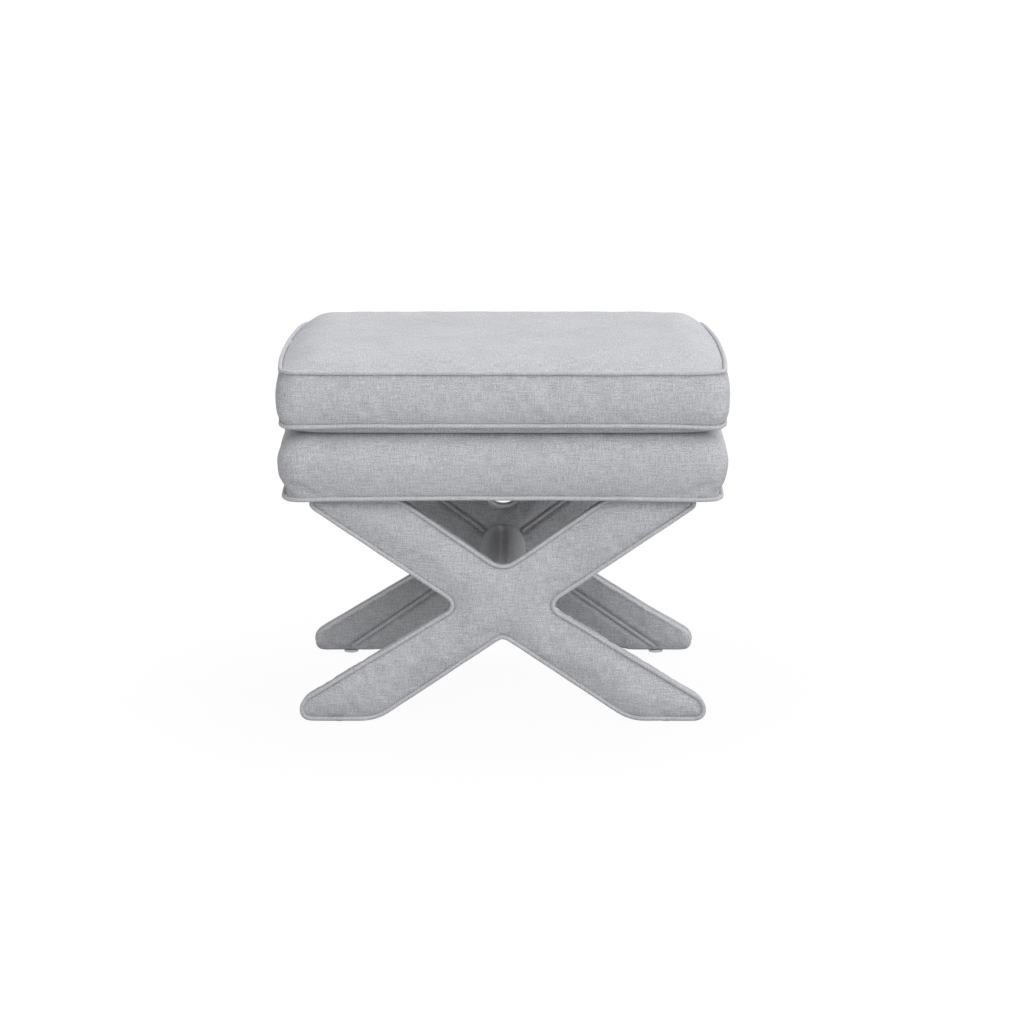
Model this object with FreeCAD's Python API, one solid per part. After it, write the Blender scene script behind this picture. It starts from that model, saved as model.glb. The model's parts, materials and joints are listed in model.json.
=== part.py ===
import FreeCAD, Part
import math
import os

from FreeCAD import Vector

# Upholstered stool on two X shaped end frames, in millimetres.
# X runs along the width, Y from front to back, Z up. The origin is on the floor, under the centre.

# Fabric, padding and piping
FABRIC = 1.2
EASE = 0.2
WELT_R = 2.9

# X frame outline, measured from the crossing point of its legs
CROSS_Z = 154.0
FOOT_REACH = 253.8
FOOT_DROP = 152.6
ARM_RISE = 133.0
UPPER_CROTCH = 41.5
LOWER_CROTCH = -46.0
SIDE_CROTCH_X = 56.0
SIDE_CROTCH_Z = -6.2
ARM_INNER_SLOPE = math.tan(math.radians(35.0))
ARM_OUTER_SLOPE = math.tan(math.radians(34.3))
LEG_UPPER_SLOPE = math.tan(math.radians(31.5))
LEG_LOWER_SLOPE = math.tan(math.radians(34.1))
UPPER_CROTCH_R = 24.0
LOWER_CROTCH_R = 7.0
SIDE_CROTCH_R = 10.0
ARM_TOP_R = 25.0
ARM_TIP_R = 9.0
TOE_TOP_R = 20.0
TOE_R = 13.0
HEEL_R = 65.0

# X frame thickness, from its outer face inwards
X_FACE_Y = 197.5
X_DEEP = 26.5
X_SIDE_INSET = 2.2
X_EDGE_R = 5.5
PANEL_STEP = 4.6
SEAM_R = 2.7
BOARD_THICK = 18.0
BOARD_WIDE = 48.0
BOARD_SLOPE = 34.8
BOARD_INSET = 8.0
LEG_SEAM = (-35.0, -3.0)
ARM_SEAM = (36.5, -5.0)
FACE_PAD = 3.5

# Stretcher between the two crossings
STRETCHER_Z = 149.0
STRETCHER_R = 30.0
DOWEL_R = 20.0
BOLT_R = 4.0
BOLT_LENGTH = 95.0
BOLT_HEAD_R = 6.5
BOLT_HEAD_HIGH = 4.0
WASHER_R = 11.0
WASHER_THICK = 1.6

# Seat box
SEAT_BOTTOM = 285.5
SEAT_TOP = 372.8
SEAT_HALF_X = 278.5
SEAT_HALF_Y = 223.5
SEAT_CORNER_R = 30.0
SEAT_BOW = 1.5
SEAT_WELT_INSET = 4.5
RAIL_THICK = 16.0
RAIL_HIGH = 50.0
RAIL_HALF_X = 258.0
RAIL_HALF_Y = 204.0
CLEAT_WIDE = 40.0
CLEAT_HIGH = 35.0
DECK_THICK = 9.0
DUST_THICK = 0.6
BLOCK_LEG = 55.0
RAIL_CORNER_R = 24.0

# Loose cushion
CUSHION_GAP = 0.3
CUSHION_HALF_X = 281.5
CUSHION_HALF_Y = 228.0
CUSHION_BOW = 2.0
CUSHION_END_BOW = 20.0
CUSHION_WIDEST_Y = -70.0
LOW_WELT_Z = 379.4
TOP_WELT_Z = 444.7
CROWN = 20.5
CROWN_SPREAD = 125.0
CROWN_POWER = 2.6
WELT_SEAM_INSET = 8.2
CUSHION_CORNER_R = 30.0
WADDING = 10.0

# Zip in the back of the cushion
ZIP_HALF = 215.0
ZIP_WIDE = 22.0
ZIP_Y = 222.0
TAPE_THICK = 1.0
COIL_R = 1.8
SLIDER_X = 196.0
PULL_REACH = 17.0

# Small fasteners
GLIDE_X = 204.0
GLIDE_Y = 182.5
GLIDE_R = 9.5
NAIL_R = 1.3
NAIL_TIP_Z = 28.0
SCREW_R = 2.2
DECK_SCREW_X = 200.0
ARM_SCREW_X = (178.0, 204.0)
ARM_SCREW_Y = 182.0
ARM_SCREW_LENGTH = 60.0

BIG = 1000.0


def export(name, *solids):
    """Write one node; more than one solid makes a group of like pieces."""
    shape = solids[0] if len(solids) == 1 else Part.makeCompound(list(solids))
    shape.exportStep(os.path.join("parts", name + ".step"))
    print(name, "solids", len(shape.Solids), "volume", round(shape.Volume), "valid", shape.isValid())


def box(x0, x1, y0, y1, z0, z1):
    return Part.makeBox(x1 - x0, y1 - y0, z1 - z0, Vector(x0, y0, z0))


def rod_y(radius, x, z, y0, y1):
    return Part.makeCylinder(radius, abs(y1 - y0), Vector(x, min(y0, y1), z), Vector(0, 1, 0))


def rod_z(radius, x, y, z0, z1):
    return Part.makeCylinder(radius, z1 - z0, Vector(x, y, z0), Vector(0, 0, 1))


def both_sides(values):
    return [side * value for value in values for side in (-1, 1)]


# Rounded outlines in a plane

def x_frame_corners():
    """Corners of the X with their radii: the left half from the upper notch down, then its mirror."""
    arm_top_x = -(ARM_RISE - UPPER_CROTCH) / ARM_INNER_SLOPE
    arm_tip_x = -SIDE_CROTCH_X - (ARM_RISE - SIDE_CROTCH_Z) / ARM_OUTER_SLOPE
    toe_top_z = SIDE_CROTCH_Z - (FOOT_REACH - SIDE_CROTCH_X) * LEG_UPPER_SLOPE
    heel_x = -(FOOT_DROP + LOWER_CROTCH) / LEG_LOWER_SLOPE
    left = [(arm_top_x, ARM_RISE, ARM_TOP_R),
            (arm_tip_x, ARM_RISE, ARM_TIP_R),
            (-SIDE_CROTCH_X, SIDE_CROTCH_Z, SIDE_CROTCH_R),
            (-FOOT_REACH, toe_top_z, TOE_TOP_R),
            (-FOOT_REACH, -FOOT_DROP, TOE_R),
            (heel_x, -FOOT_DROP, HEEL_R)]
    right = [(-x, z, radius) for x, z, radius in reversed(left)]
    return [(0, UPPER_CROTCH, UPPER_CROTCH_R)] + left + [(0, LOWER_CROTCH, LOWER_CROTCH_R)] + right


def turn_at(before, corner, after):
    ax, az = corner[0] - before[0], corner[1] - before[1]
    bx, bz = after[0] - corner[0], after[1] - corner[1]
    return math.atan2(ax * bz - az * bx, ax * bx + az * bz)


def inset_corners(corners, inset):
    """Move every edge of a counter-clockwise outline inwards, and its radii with it."""
    count = len(corners)
    lines = []
    for i in range(count):
        x0, z0 = corners[i][:2]
        x1, z1 = corners[(i + 1) % count][:2]
        length = math.hypot(x1 - x0, z1 - z0)
        dx, dz = (x1 - x0) / length, (z1 - z0) / length
        lines.append((x0 - dz * inset, z0 + dx * inset, dx, dz))
    moved = []
    for i in range(count):
        px, pz, ux, uz = lines[i - 1]
        qx, qz, vx, vz = lines[i]
        along = ((qx - px) * vz - (qz - pz) * vx) / (ux * vz - uz * vx)
        turn = turn_at(corners[i - 1], corners[i], corners[(i + 1) % count])
        radius = corners[i][2] - math.copysign(inset, turn)
        moved.append((px + ux * along, pz + uz * along, radius))
    return moved


def outline_wire(corners, y):
    """Closed wire of lines and tangent arcs in the plane of that Y."""
    count = len(corners)
    arcs = []
    for i in range(count):
        x, z, radius = corners[i]
        before, after = corners[i - 1], corners[(i + 1) % count]
        turn = turn_at(before, corners[i], after)
        reach = radius * math.tan(abs(turn) / 2)
        into = Vector(before[0] - x, 0, before[1] - z).normalize()
        out = Vector(after[0] - x, 0, after[1] - z).normalize()
        point = Vector(x, y, z)
        inner = (into + out).normalize() * (radius / math.cos(abs(turn) / 2) - radius)
        arcs.append(Part.Arc(point + into * reach, point + inner, point + out * reach).toShape())
    edges = []
    for i in range(count):
        edges.append(arcs[i])
        start = arcs[i].Vertexes[-1].Point
        end = arcs[(i + 1) % count].Vertexes[0].Point
        edges.append(Part.LineSegment(start, end).toShape())
    return Part.Wire(edges)


def x_slab(inset, y0, y1):
    """The X outline, inset, as a slab between two planes."""
    corners = [(x, z + CROSS_Z, r) for x, z, r in inset_corners(x_frame_corners(), inset)]
    low, high = min(y0, y1), max(y0, y1)
    return Part.Face(outline_wire(corners, low)).extrude(Vector(0, high - low, 0))


def round_one_side(slab, y, radius):
    edges = [e for e in slab.Edges if all(abs(v.Point.y - y) < 1e-6 for v in e.Vertexes)]
    return slab.makeFillet(radius, edges)


def tube(path, radius):
    """Round tube along a closed path of tangent lines and arcs."""
    start = path.Edges[0].Vertexes[0].Point
    along = path.Edges[0].tangentAt(path.Edges[0].FirstParameter)
    ring = Part.Wire(Part.makeCircle(radius, start, along))
    return path.makePipeShell([ring], True, False)


# X frames, built for the side given: -1 in front, 1 behind

def x_boards(side):
    """Two planks, half lapped where they cross, bored for the stretcher bolt."""
    outer = side * (X_FACE_Y - FABRIC - FACE_PAD)
    inner = outer - side * BOARD_THICK
    middle = (outer + inner) / 2
    room = x_slab(BOARD_INSET, outer, inner)
    planks = []
    for lean in (-1, 1):
        plank = box(-BIG, BIG, min(outer, inner), max(outer, inner), -BOARD_WIDE / 2, BOARD_WIDE / 2)
        plank.rotate(Vector(0, 0, 0), Vector(0, 1, 0), lean * BOARD_SLOPE)
        plank.translate(Vector(0, 0, CROSS_Z))
        planks.append(plank.common(room))
    lap = planks[0].common(planks[1])
    front_half = box(-BIG, BIG, min(outer, middle), max(outer, middle), 0, BIG)
    back_half = box(-BIG, BIG, min(inner, middle), max(inner, middle), 0, BIG)
    cuts = [lap.common(front_half), lap.common(back_half)]
    boards = []
    for plank, cut in zip(planks, cuts):
        boards.append(plank.cut([cut, bolt_room(side), arm_screw_room(), nail_room()]))
    return boards


def bolt_room(side):
    """Bore for the stretcher bolt, with a recess for its head and washer."""
    outer = side * (X_FACE_Y - FABRIC - EASE - 1)
    seat_y = side * (X_FACE_Y - FABRIC - FACE_PAD - WASHER_THICK - BOLT_HEAD_HIGH)
    recess = rod_y(WASHER_R + EASE, 0, STRETCHER_Z, outer, seat_y)
    return recess.fuse(rod_y(BOLT_R + EASE, 0, STRETCHER_Z, outer, side * (X_FACE_Y - X_DEEP)))


def arm_screw_room():
    return Part.makeCompound([rod_z(SCREW_R + EASE, x, y, SEAT_BOTTOM - BIG, SEAT_BOTTOM + CLEAT_HIGH)
                              .common(arm_screw_reach()) for x, y in arm_screw_spots()])


def arm_screw_reach():
    top = SEAT_BOTTOM + FABRIC + CLEAT_HIGH
    return box(-BIG, BIG, -BIG, BIG, top - ARM_SCREW_LENGTH - EASE, top + EASE)


def arm_screw_spots():
    return [(x, y) for x in both_sides(ARM_SCREW_X) for y in both_sides([ARM_SCREW_Y])]


def glide_spots():
    return [(x, y) for x in both_sides([GLIDE_X]) for y in both_sides([GLIDE_Y])]


def foot_sole_z():
    return CROSS_Z - FOOT_DROP + X_SIDE_INSET


def nail_room():
    return Part.makeCompound([rod_z(NAIL_R + EASE, x, y, foot_sole_z() - 1, NAIL_TIP_Z + EASE)
                              for x, y in glide_spots()])


def dowel_room(side):
    inner = side * (X_FACE_Y - X_DEEP)
    return rod_y(DOWEL_R + EASE, 0, STRETCHER_Z, inner - side * 5, inner + side * (X_DEEP - BOARD_THICK) / 2)


def x_padding(side, boards):
    inset = X_SIDE_INSET + FABRIC + EASE
    outer = side * (X_FACE_Y - FABRIC - EASE)
    step = side * (X_FACE_Y - PANEL_STEP - FABRIC - EASE)
    inner = side * (X_FACE_Y - X_DEEP + FABRIC + EASE)
    body = round_one_side(x_slab(inset, step, inner), inner, X_EDGE_R - FABRIC - EASE)
    pad = body.fuse(x_slab(inset + 2 * WELT_R - X_SIDE_INSET, outer, step)).removeSplitter()
    return pad.cut(boards + [dowel_room(side), bolt_room(side), arm_screw_room(), nail_room()])


def x_cover(side):
    """Fabric shell with a raised face panel, stepped back at its edge for the piping."""
    face = side * X_FACE_Y
    step = side * (X_FACE_Y - PANEL_STEP)
    inner = side * (X_FACE_Y - X_DEEP)
    panel_inset = 2 * WELT_R + EASE
    body = round_one_side(x_slab(X_SIDE_INSET, step, inner), inner, X_EDGE_R)
    body = body.fuse(x_slab(panel_inset, face, step)).removeSplitter()
    hollow = round_one_side(x_slab(X_SIDE_INSET + FABRIC, step - side * FABRIC, inner + side * FABRIC),
                            inner + side * FABRIC, X_EDGE_R - FABRIC)
    hollow = hollow.fuse(x_slab(panel_inset + FABRIC, face - side * FABRIC, step - side * FABRIC))
    return body.cut([hollow, dowel_room(side), arm_screw_room(), nail_room()])


def x_edge_welt(side):
    """Piping round the outer face, pressed flat under the seat."""
    corners = [(x, z + CROSS_Z, r) for x, z, r in inset_corners(x_frame_corners(), WELT_R)]
    piping = tube(outline_wire(corners, side * (X_FACE_Y - PANEL_STEP + WELT_R + EASE)), WELT_R)
    below = box(-BIG, BIG, -BIG, BIG, -BIG, SEAT_BOTTOM - DUST_THICK - EASE)
    return piping.common(below)


def x_seam_welts(side):
    """Piping on the inner face, down the middle of each arm and leg, stopped at the stretcher."""
    inner = side * (X_FACE_Y - X_DEEP)
    strips = []
    for x_way in (-1, 1):
        for (slope, drop), far_z in ((LEG_SEAM, foot_sole_z() + X_EDGE_R), (ARM_SEAM, SEAT_BOTTOM - X_EDGE_R - 3)):
            start_z = CROSS_Z + drop
            far_x = (far_z - start_z) / math.tan(math.radians(slope))
            start = Vector(0, inner, start_z)
            run = Vector(x_way * far_x, 0, far_z - start_z)
            strip = Part.makeCylinder(SEAM_R, run.Length, start, run)
            strips.append(strip)
    near = [s.cut(rod_y(STRETCHER_R + 2, 0, STRETCHER_Z, inner - 9, inner + 9)) for s in strips]
    open_side = box(-BIG, BIG, -BIG, inner, -BIG, BIG) if side > 0 else box(-BIG, BIG, inner, BIG, -BIG, BIG)
    return [solid for s in near for solid in s.common(open_side).Solids]


def make_x_frame(name, side):
    boards = x_boards(side)
    export(name + "_x_board_rising", boards[0])
    export(name + "_x_board_falling", boards[1])
    export(name + "_x_padding", x_padding(side, boards))
    export(name + "_x_cover", x_cover(side))
    export(name + "_x_edge_welt", x_edge_welt(side))
    export(name + "_x_seam_welts", *x_seam_welts(side))


# Stretcher

def make_stretcher():
    cover_end = X_FACE_Y - X_DEEP - EASE
    dowel_end = X_FACE_Y - FABRIC - FACE_PAD - BOARD_THICK - EASE
    head_y = X_FACE_Y - FABRIC - FACE_PAD - WASHER_THICK - BOLT_HEAD_HIGH
    dowel = rod_y(DOWEL_R, 0, STRETCHER_Z, -dowel_end, dowel_end)
    bolts, washers = [], []
    for side in (-1, 1):
        washer = rod_y(WASHER_R, 0, STRETCHER_Z, side * head_y, side * (head_y + WASHER_THICK))
        washers.append(washer.cut(rod_y(BOLT_R + EASE, 0, STRETCHER_Z, side * BIG, 0)))
        tip = head_y + WASHER_THICK - BOLT_LENGTH
        shank = rod_y(BOLT_R, 0, STRETCHER_Z, side * tip, side * (head_y + WASHER_THICK))
        head = Part.Face(hexagon(BOLT_HEAD_R, STRETCHER_Z, side * (head_y + WASHER_THICK)))
        bolts.append(shank.fuse(head.extrude(Vector(0, side * BOLT_HEAD_HIGH, 0))))
        dowel = dowel.cut(rod_y(BOLT_R + EASE, 0, STRETCHER_Z, side * (tip - 2), side * BIG))
    foam = rod_y(STRETCHER_R - FABRIC - EASE, 0, STRETCHER_Z, -cover_end, cover_end)
    cover = rod_y(STRETCHER_R, 0, STRETCHER_Z, -cover_end, cover_end)
    around_dowel = rod_y(DOWEL_R + EASE, 0, STRETCHER_Z, -BIG, BIG)
    export("stretcher_dowel", dowel)
    export("stretcher_padding", foam.cut(around_dowel))
    export("stretcher_cover", cover.cut(rod_y(STRETCHER_R - FABRIC, 0, STRETCHER_Z, -BIG, BIG)))
    export("stretcher_bolts", *bolts)
    export("stretcher_washers", *washers)


def hexagon(radius, z, y):
    points = [Vector(radius * math.cos(math.radians(60 * i)), y, z + radius * math.sin(math.radians(60 * i)))
              for i in range(7)]
    return Part.makePolygon(points)


# Seat box

def seat_plan():
    return SEAT_HALF_X, SEAT_HALF_Y, SEAT_CORNER_R, SEAT_BOW, SEAT_BOW, 0


def cushion_plan():
    return CUSHION_HALF_X, CUSHION_HALF_Y, CUSHION_CORNER_R, CUSHION_BOW, CUSHION_END_BOW, CUSHION_WIDEST_Y


def pillow_section(plan, draw_in, z, softer=0):
    """Rounded rectangle of eight tangent arcs with bowed sides, drawn in from the full plan."""
    half_x, half_y, plan_corner, bow, end_bow, widest_y = plan
    corner = plan_corner - draw_in + softer
    long_r = (half_x ** 2 + bow ** 2) / (2 * bow)
    end_r = ((half_y + abs(widest_y)) ** 2 + end_bow ** 2) / (2 * end_bow)
    end_centre = Vector(half_x - end_r, widest_y, 0)
    corners = []
    for sy in (-1, 1):
        long_centre = Vector(0, sy * (half_y - long_r), 0)
        cx, cy = half_x - plan_corner, sy * (half_y - plan_corner)
        for _ in range(20):
            cx = end_centre.x + math.sqrt((end_r - draw_in - corner) ** 2 - (cy - widest_y) ** 2)
            cy = long_centre.y + sy * math.sqrt((long_r - draw_in - corner) ** 2 - cx ** 2)
        centre = Vector(cx, cy, 0)
        to_long = (centre - long_centre).normalize()
        to_end = (centre - end_centre).normalize()
        middle = (to_long + to_end).normalize()
        corners.append([centre + way * corner + Vector(0, 0, z) for way in (to_long, middle, to_end)])
    (front, front_turn, front_end), (back, back_turn, back_end) = corners
    end_centre.z = z
    end_turn = end_centre + ((front_end + back_end) * 0.5 - end_centre).normalize() * (end_r - draw_in)
    right = [(front, front_turn, front_end), (front_end, end_turn, back_end), (back_end, back_turn, back)]
    left = [tuple(Vector(-p.x, p.y, p.z) for p in reversed(arc)) for arc in reversed(right)]
    front_arc = (left[-1][2], Vector(0, draw_in - half_y, z), front)
    back_arc = (back, Vector(0, half_y - draw_in, z), left[0][0])
    return Part.Wire([Part.Arc(*arc).toShape() for arc in [front_arc] + right + [back_arc] + left])


def loft(sections):
    return Part.makeLoft(sections, True, False)


def seat_form(inset):
    """Padded box: drawn in at the piping below, bulging at mid height, rounded over at the top."""
    neck_top = SEAT_BOTTOM + 2 * WELT_R + EASE
    neck = SEAT_WELT_INSET + 2 * WELT_R + EASE
    profile = [(neck_top, 3.5), (304.0, 1.0), (326.0, 0.0), (342.0, 1.5), (353.0, 5.5), (362.0, 11.5),
               (368.8, 20.5), (SEAT_TOP, 34.0)]
    sections = []
    for z, draw_in in profile:
        lower = inset * (2 * (z - neck_top) / (SEAT_TOP - neck_top) - 1)
        sections.append(pillow_section(seat_plan(), draw_in + inset, z - lower, draw_in))
    below = pillow_section(seat_plan(), neck + inset, SEAT_BOTTOM + inset)
    lower_part = Part.Face(below).extrude(Vector(0, 0, neck_top - SEAT_BOTTOM + 3))
    return loft(sections).fuse(lower_part)


def frame_blank(z0, z1, ease=0):
    """Outline of the wooden seat frame, its corners rounded under the fabric."""
    half_x, half_y = RAIL_HALF_X + ease, RAIL_HALF_Y + ease
    blank = box(-half_x, half_x, -half_y, half_y, z0, z1)
    upright = [e for e in blank.Edges if abs(e.Vertexes[0].Point.z - e.Vertexes[1].Point.z) > 1]
    return blank.makeFillet(RAIL_CORNER_R, upright)


def make_seat_frame():
    low = SEAT_BOTTOM + FABRIC + EASE
    high = low + RAIL_HIGH
    inner_x = RAIL_HALF_X - RAIL_THICK
    inner_y = RAIL_HALF_Y - RAIL_THICK
    blank = frame_blank(low, high)
    export("seat_rail_front", blank.common(box(-RAIL_HALF_X, RAIL_HALF_X, -RAIL_HALF_Y, -inner_y, low, high)))
    export("seat_rail_back", blank.common(box(-RAIL_HALF_X, RAIL_HALF_X, inner_y, RAIL_HALF_Y, low, high)))
    export("seat_rail_left", blank.common(box(-RAIL_HALF_X, -inner_x, -inner_y, inner_y, low, high)))
    export("seat_rail_right", blank.common(box(inner_x, RAIL_HALF_X, -inner_y, inner_y, low, high)))
    cleats = []
    for side in (-1, 1):
        y0, y1 = sorted((side * inner_y, side * (inner_y - CLEAT_WIDE)))
        cleat = box(-inner_x, inner_x, y0, y1, low, low + CLEAT_HIGH)
        cleats.append(cleat.cut(arm_screw_room()).cut(screw_heads(EASE)))
    export("seat_cleat_front", cleats[0])
    export("seat_cleat_back", cleats[1])
    export("seat_corner_blocks", *corner_blocks(inner_x, inner_y - CLEAT_WIDE, low, high))
    export("arm_screws", *arm_screws())
    return high


def corner_blocks(x, y, low, high):
    """Three-sided blocks glued behind the corners, between side rail and cleat."""
    blocks = []
    for sx in (-1, 1):
        for sy in (-1, 1):
            points = [Vector(sx * x, sy * y, low), Vector(sx * (x - BLOCK_LEG), sy * y, low),
                      Vector(sx * x, sy * (y - BLOCK_LEG), low), Vector(sx * x, sy * y, low)]
            blocks.append(Part.Face(Part.makePolygon(points)).extrude(Vector(0, 0, high - low)))
    return blocks


def screw_heads(ease):
    top = SEAT_BOTTOM + FABRIC + EASE + CLEAT_HIGH
    return Part.makeCompound([Part.makeCone(SCREW_R + ease, 2 * SCREW_R + ease, SCREW_R, Vector(x, y, top - SCREW_R))
                              for x, y in arm_screw_spots()])


def arm_screws():
    """Countersunk screws through the cleats into the arm ends."""
    top = SEAT_BOTTOM + FABRIC + EASE + CLEAT_HIGH
    screws = []
    for x, y in arm_screw_spots():
        shank = rod_z(SCREW_R, x, y, top - ARM_SCREW_LENGTH + 1, top - SCREW_R)
        head = Part.makeCone(SCREW_R, 2 * SCREW_R, SCREW_R, Vector(x, y, top - SCREW_R))
        screws.append(shank.fuse(head).removeSplitter())
    return screws


def deck_screw_spots():
    x = RAIL_HALF_X - RAIL_THICK / 2
    y = RAIL_HALF_Y - RAIL_THICK / 2
    return [(sx, sy) for sx in (-DECK_SCREW_X, 0, DECK_SCREW_X) for sy in (-y, y)] + [(-x, 0), (x, 0)]


def make_deck(rail_top):
    """Plywood deck with its countersunk screws."""
    top = rail_top + DECK_THICK
    deck = frame_blank(rail_top, top)
    screws = []
    for x, y in deck_screw_spots():
        head = Part.makeCone(SCREW_R, 2 * SCREW_R, SCREW_R, Vector(x, y, top - SCREW_R))
        shank = rod_z(SCREW_R, x, y, rail_top, top - SCREW_R)
        screw = shank.fuse(head).removeSplitter()
        deck = deck.cut(screw)
        screws.append(screw)
    export("seat_deck", deck)
    export("deck_screws", *screws)
    return top


def make_seat_upholstery(deck_top):
    foam = seat_form(FABRIC + EASE).cut(frame_blank(0, deck_top, EASE))
    flange = 26.0
    hole_x = RAIL_HALF_X - flange
    hole_y = RAIL_HALF_Y - flange
    opening = box(-hole_x, hole_x, -hole_y, hole_y, 0, SEAT_BOTTOM + 2 * FABRIC)
    cover = seat_form(0).cut(seat_form(FABRIC)).cut(opening).cut(arm_screw_room())
    dust = Part.Face(pillow_section(seat_plan(), SEAT_WELT_INSET + 2 * WELT_R + 2, SEAT_BOTTOM - DUST_THICK))
    export("seat_foam", foam)
    export("seat_cover", cover)
    export("dust_cover", dust.extrude(Vector(0, 0, DUST_THICK)).cut(arm_screw_room()))
    path = pillow_section(seat_plan(), SEAT_WELT_INSET + WELT_R, SEAT_BOTTOM + WELT_R)
    export("seat_welt", tube(path, WELT_R))


# Cushion

def crown_rise(distance):
    """Height of the pillow's top this far in from its seam, as a share of the crown."""
    return 1 - (1 - min(distance / CROWN_SPREAD, 1)) ** CROWN_POWER


def cushion_top_form(inset):
    """Crowned top: rises steeply from the seam and flattens towards the middle."""
    seam_z = TOP_WELT_Z - inset / 2
    crown = CROWN - inset / 2
    sections = []
    for distance in (0, 4, 10, 20, 38, 65, 100):
        z = seam_z + crown * crown_rise(distance) / crown_rise(100)
        sections.append(pillow_section(cushion_plan(), WELT_SEAM_INSET + inset + distance, z, inset + 1.4 * distance))
    return loft(sections)


def cushion_boxing_form(inset):
    """Side band: bulges between the two seams and is drawn in at both."""
    low_z = LOW_WELT_Z + inset / 2
    high_z = TOP_WELT_Z - inset / 2
    step = WELT_R + EASE
    sections = []
    for share, draw_in in ((0, 4.5), (0.12, 2.2), (0.3, 0.5), (0.5, 0), (0.7, 0.6), (0.88, 2.0), (1, 4.0)):
        z = low_z + step + share * (high_z - low_z - 2 * step)
        sections.append(pillow_section(cushion_plan(), draw_in + inset, z, draw_in + inset))
    seam = Part.Face(pillow_section(cushion_plan(), WELT_SEAM_INSET + inset, low_z, inset))
    return loft(sections).fuse(seam.extrude(Vector(0, 0, high_z - low_z))).removeSplitter()


def cushion_bottom_form(inset):
    """Shallow belly under the lower seam, flat where it rests on the seat box."""
    seam_z = LOW_WELT_Z + inset / 2
    depth = LOW_WELT_Z - SEAT_TOP - CUSHION_GAP - inset / 2
    sections = []
    for distance, share in ((26, 1), (14, 0.86), (6, 0.55), (0, 0)):
        draw_in = WELT_SEAM_INSET + inset + distance
        sections.append(pillow_section(cushion_plan(), draw_in, seam_z - depth * share, inset + 1.4 * distance))
    return loft(sections)


def cushion_form(inset):
    return cushion_boxing_form(inset).fuse([cushion_top_form(inset), cushion_bottom_form(inset)])


def zip_room(ease):
    return box(-ZIP_HALF - ease, ZIP_HALF + ease, ZIP_Y - ease, BIG,
               zip_middle() - ZIP_WIDE / 2 - ease, zip_middle() + ZIP_WIDE / 2 + ease)


def zip_middle():
    return (LOW_WELT_Z + TOP_WELT_Z) / 2


def make_cushion():
    hollow = cushion_form(FABRIC)
    room = zip_room(0)
    export("cushion_top_panel", cushion_top_form(0).cut(hollow))
    export("cushion_boxing", cushion_boxing_form(0).cut(hollow).cut(room))
    export("cushion_bottom_panel", cushion_bottom_form(0).cut(hollow))
    core = cushion_form(WADDING + FABRIC + 2 * EASE)
    wadding = cushion_form(FABRIC + EASE).cut(cushion_form(WADDING + FABRIC + EASE)).cut(zip_room(EASE))
    export("cushion_wadding", wadding)
    export("cushion_foam", core)
    for name, z in (("cushion_top_welt", TOP_WELT_Z), ("cushion_bottom_welt", LOW_WELT_Z)):
        path = pillow_section(cushion_plan(), WELT_SEAM_INSET - WELT_R - EASE, z)
        export(name, tube(path, WELT_R))


def make_zip():
    z = zip_middle()
    tape_y = ZIP_Y + TAPE_THICK
    tape = box(-ZIP_HALF + EASE, ZIP_HALF - EASE, ZIP_Y, tape_y, z - ZIP_WIDE / 2 + EASE, z + ZIP_WIDE / 2 - EASE)
    coil = Part.makeCylinder(COIL_R, 2 * ZIP_HALF - 8, Vector(-ZIP_HALF + 4, tape_y, z), Vector(1, 0, 0))
    coil = coil.common(box(-BIG, BIG, tape_y, BIG, 0, BIG))
    export("zip_tape", tape)
    export("zip_coil", coil)
    low = tape_y + 2 * EASE
    body = box(SLIDER_X - 5, SLIDER_X + 5, low, tape_y + 4.0, z - 3.6, z + 3.6)
    body = body.makeFillet(1.0, [e for e in body.Edges if abs(e.Vertexes[0].Point.y - e.Vertexes[1].Point.y) > 1])
    channel = Part.makeCylinder(COIL_R + 2 * EASE, 20, Vector(SLIDER_X - 10, tape_y, z), Vector(1, 0, 0))
    tab = box(SLIDER_X + 3, SLIDER_X + PULL_REACH, tape_y + 2.8, tape_y + 4.0, z - 2.5, z + 2.5)
    eye = rod_y(1.2, SLIDER_X + PULL_REACH - 2.5, z, 0, BIG)
    export("zip_slider", body.cut(channel).fuse(tab).cut(eye).removeSplitter())


# Feet

def make_glides():
    glides, nails = [], []
    for x, y in glide_spots():
        disc = rod_z(GLIDE_R, x, y, 0, foot_sole_z() - EASE / 2)
        lower = [e for e in disc.Edges if len(e.Vertexes) == 1 and e.Vertexes[0].Point.z < 0.1]
        disc = disc.makeFillet(1.2, lower)
        hole = rod_z(NAIL_R + EASE, x, y, 1.6, BIG)
        glides.append(disc.cut(hole))
        nails.append(rod_z(NAIL_R, x, y, 1.6 + EASE, NAIL_TIP_Z))
    export("foot_glides", *glides)
    export("glide_nails", *nails)


def main():
    os.makedirs("parts", exist_ok=True)
    make_x_frame("front", -1)
    make_x_frame("back", 1)
    make_stretcher()
    rail_top = make_seat_frame()
    deck_top = make_deck(rail_top)
    make_seat_upholstery(deck_top)
    make_cushion()
    make_zip()
    make_glides()


main()
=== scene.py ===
import json
import math

import bmesh
import bpy
from bpy.props import FloatProperty, FloatVectorProperty, PointerProperty
from mathutils import Matrix, Vector, kdtree, noise


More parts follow.
